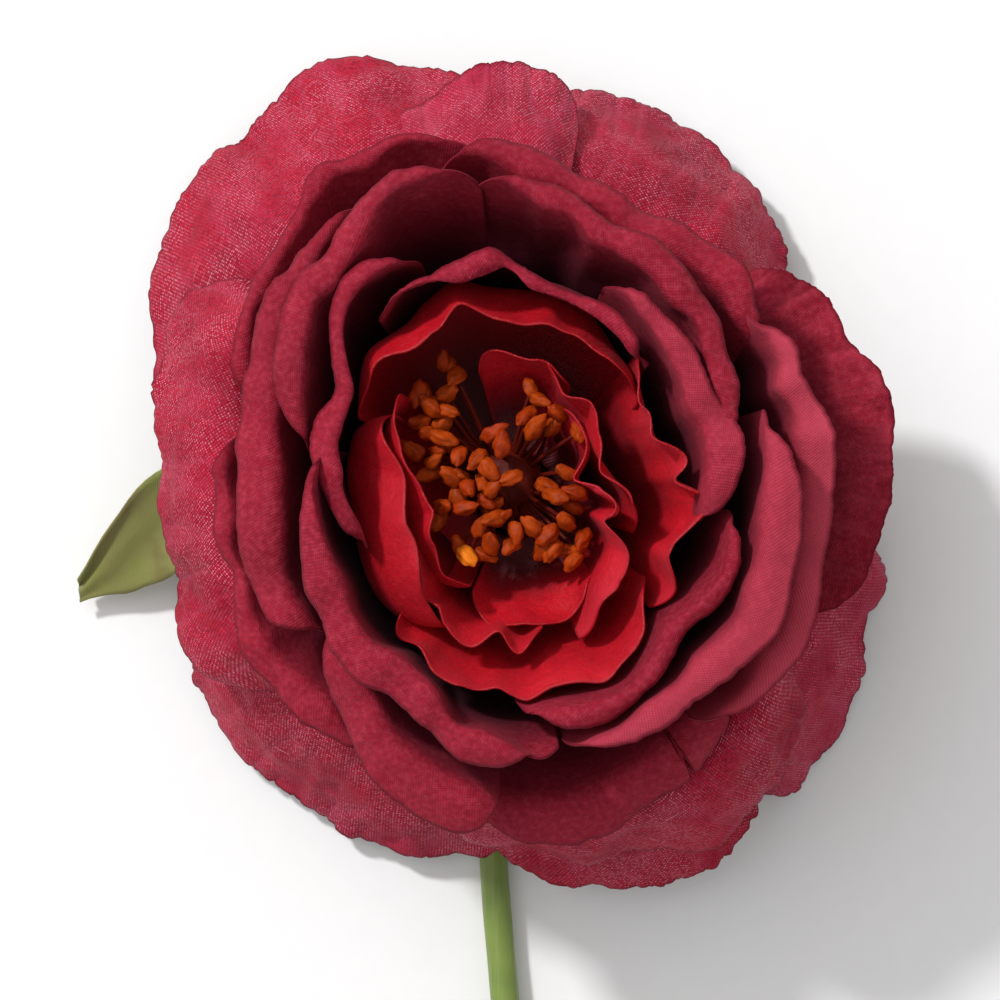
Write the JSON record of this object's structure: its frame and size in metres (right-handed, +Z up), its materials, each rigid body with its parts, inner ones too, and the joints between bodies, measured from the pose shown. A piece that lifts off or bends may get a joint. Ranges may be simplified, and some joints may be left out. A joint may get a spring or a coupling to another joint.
{
  "type": "artificial rose",
  "caption": "Open garden rose of cut fabric petals round moulded stamens, on a short plastic-sheathed wire stem that is bent flat so that the flower lies face up.",
  "frame": {"origin": "bottom centre of the whole rose's box, on the surface it lies on", "axes": "+Z is up, the way the flower faces; +Y runs from the cut end of the stem to the flower and is the longest extent"},
  "size_m": [0.1214, 0.211, 0.0634],
  "materials": {
    "outer_cloth": "woven, slight sheen",
    "cup_cloth": "brushed, matte",
    "heart_cloth": "thin satin",
    "sepal_cloth": "woven, matte",
    "green_plastic": "satin",
    "stamen_plastic": "satin",
    "core_foam": "matte",
    "steel_wire": "drawn wire"
  },
  "bodies": {
    "root": {"stem_wire": "steel_wire", "stem_sheath": "green_plastic", "calyx_cup": "green_plastic", "calyx_star": "sepal_cloth", "petal_core": "core_foam", "stamens": "stamen_plastic", "outer_petal_upper_left": "outer_cloth", "outer_petal_lower_left": "outer_cloth", "outer_petal_lower_right": "outer_cloth", "outer_petal_upper_right": "outer_cloth", "outer_petal_bottom": "outer_cloth", "outer_petal_left": "outer_cloth", "outer_petal_top": "outer_cloth", "outer_petal_lower_fold": "outer_cloth", "outer_petal_right": "outer_cloth", "collar_petal_upper_left": "cup_cloth", "collar_petal_bottom": "cup_cloth", "collar_petal_left": "cup_cloth", "collar_petal_upper_right": "cup_cloth", "cup_petal_left": "cup_cloth", "cup_petal_right": "cup_cloth", "cup_petal_upper_left": "cup_cloth", "cup_petal_lower_left": "cup_cloth", "roll_petal_lower_left": "cup_cloth", "roll_petal_lower_right": "cup_cloth", "roll_petal_upper_right": "cup_cloth", "roll_petal_bottom": "cup_cloth", "roll_petal_right": "cup_cloth", "roll_petal_left": "cup_cloth", "roll_petal_top": "cup_cloth", "heart_petal_right": "heart_cloth", "heart_petal_top": "heart_cloth", "heart_petal_bottom": "heart_cloth", "heart_petal_left": "heart_cloth", "heart_petal_upper_right": "heart_cloth", "heart_petal_lower_left": "heart_cloth", "centre_petal_left": "heart_cloth", "centre_petal_right": "heart_cloth", "centre_petal_bottom": "heart_cloth", "centre_petal_top": "heart_cloth"}
  },
  "joints": []
}
